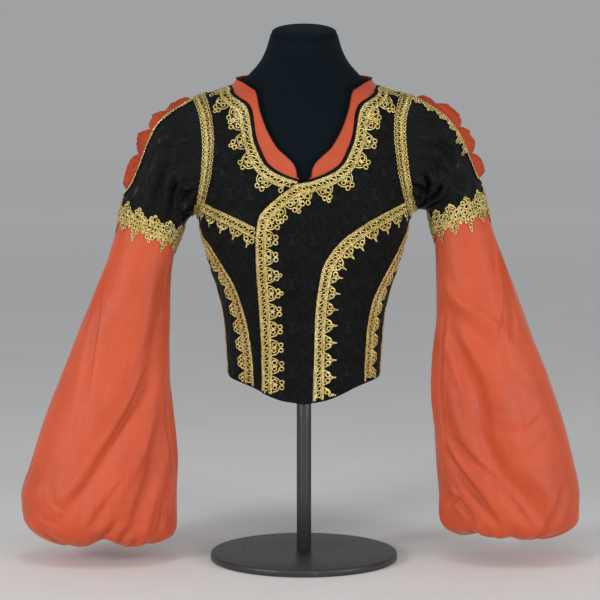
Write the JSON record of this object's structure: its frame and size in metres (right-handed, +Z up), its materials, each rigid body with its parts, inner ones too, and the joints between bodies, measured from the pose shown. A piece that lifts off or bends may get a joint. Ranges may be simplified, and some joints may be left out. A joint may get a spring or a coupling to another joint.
{
  "type": "doublet on a dress form",
  "caption": "Short fitted doublet with a crossing front, gold lace on its seams, slit upper sleeves and long full lower sleeves, worn by a limbless dress form on a round stand",
  "frame": {"origin": "centre of the underside of the stand's base", "axes": "+Z up; the garment's front faces -Y; the wearer's left is +X"},
  "size_m": [0.9584, 0.32, 0.9121],
  "materials": {
    "brocade": "black brocade, figure woven in the same black with a soft sheen",
    "silk": "orange-red silk taffeta with a low sheen",
    "cord": "black twisted cord",
    "gold_lace": "gold metal-thread lace and braid",
    "form_cover": "dark slate jersey, matt",
    "stand_paint": "satin black paint"
  },
  "bodies": {
    "root": {"left_front": "brocade", "right_front": "brocade", "left_side_front": "brocade", "right_side_front": "brocade", "left_side": "brocade", "right_side": "brocade", "left_back": "brocade", "right_back": "brocade", "left_upper_sleeve": "brocade", "right_upper_sleeve": "brocade", "collar_left": "silk", "collar_right": "silk", "collar_back": "silk", "left_slit_puffs": "silk", "right_slit_puffs": "silk", "left_lower_sleeve": "silk", "right_lower_sleeve": "silk", "collar_cord_left": "cord", "collar_cord_right": "cord", "front_edge_lace": "gold_lace", "right_neck_lace": "gold_lace", "back_neck_lace": "gold_lace", "left_princess_lace": "gold_lace", "right_princess_lace": "gold_lace", "left_side_lace": "gold_lace", "right_side_lace": "gold_lace", "left_back_lace": "gold_lace", "right_back_lace": "gold_lace", "left_cuff_lace": "gold_lace", "right_cuff_lace": "gold_lace", "left_armhole_braid": "gold_lace", "right_armhole_braid": "gold_lace", "left_slit_braid_front": "gold_lace", "left_slit_braid_back": "gold_lace", "right_slit_braid_front": "gold_lace", "right_slit_braid_back": "gold_lace", "form_torso": "form_cover", "form_cap": "form_cover", "stand_pole": "stand_paint", "stand_base": "stand_paint"}
  },
  "joints": []
}
